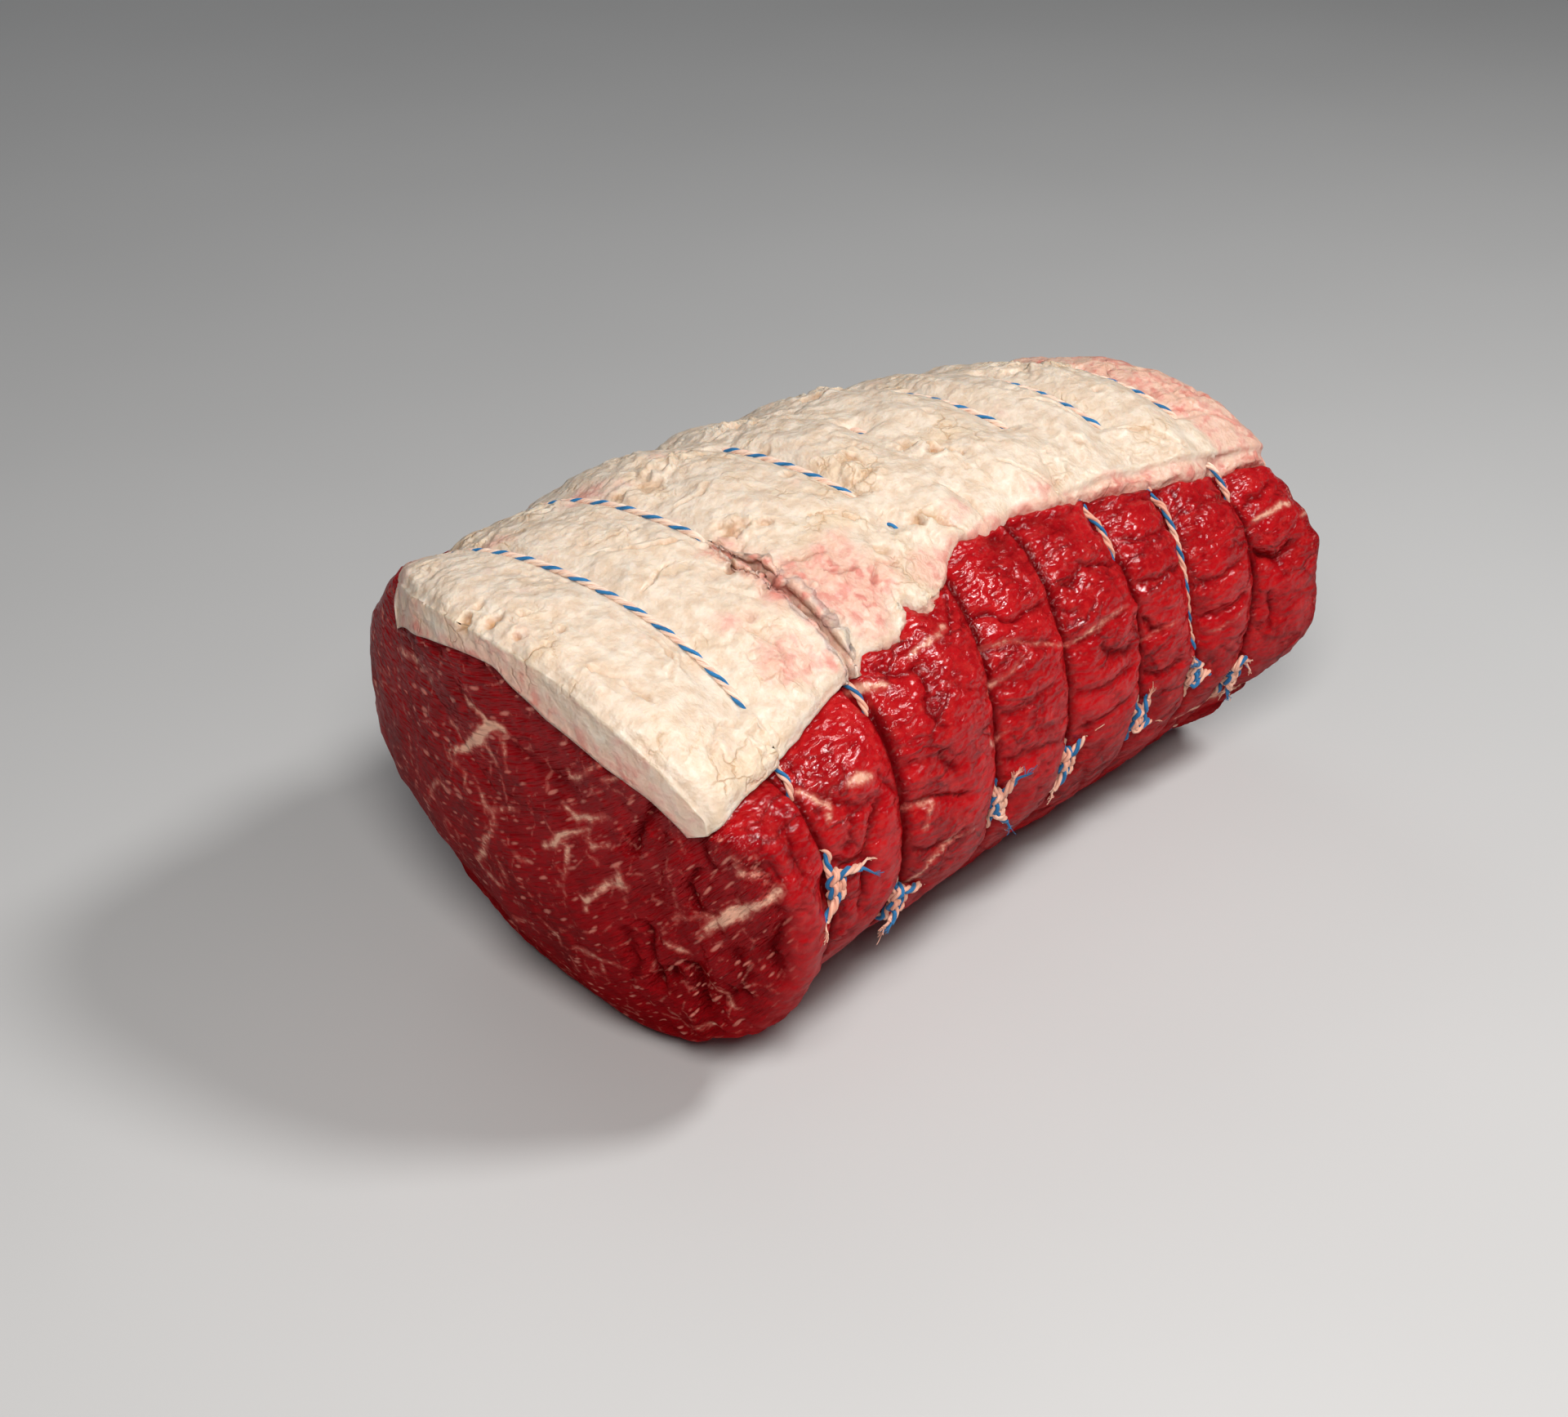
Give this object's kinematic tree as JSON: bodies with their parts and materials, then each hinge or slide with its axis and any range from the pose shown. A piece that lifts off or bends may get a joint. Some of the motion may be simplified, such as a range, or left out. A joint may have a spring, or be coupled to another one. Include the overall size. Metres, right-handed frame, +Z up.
{
  "type": "beef topside joint",
  "caption": "Raw beef topside roasting joint, rolled and tied with twine, with a cap of cream fat over deep red meat.",
  "frame": {"origin": "the middle of the joint's length and width, on the surface that it rests on", "axes": "+X along the joint, away from the near cut face; +Z up, with the cap of fat on top; the knots are on the -Y side"},
  "size_m": [0.2389, 0.1496, 0.1193],
  "materials": {
    "raw_meat": "moist raw lean beef, deep red with cream marbling, soft broken highlights",
    "beef_fat": "waxy cream beef fat with pink and tan stains",
    "twine": "twisted cotton butcher's twine, one blue ply among natural ones, stained where it lies on the meat"
  },
  "bodies": {
    "root": {"meat": "raw_meat", "fat_front": "beef_fat", "fat_rear": "beef_fat", "string_1": "twine", "string_2": "twine", "string_3": "twine", "string_4": "twine", "string_5": "twine", "string_6": "twine", "string_7": "twine"}
  },
  "joints": []
}
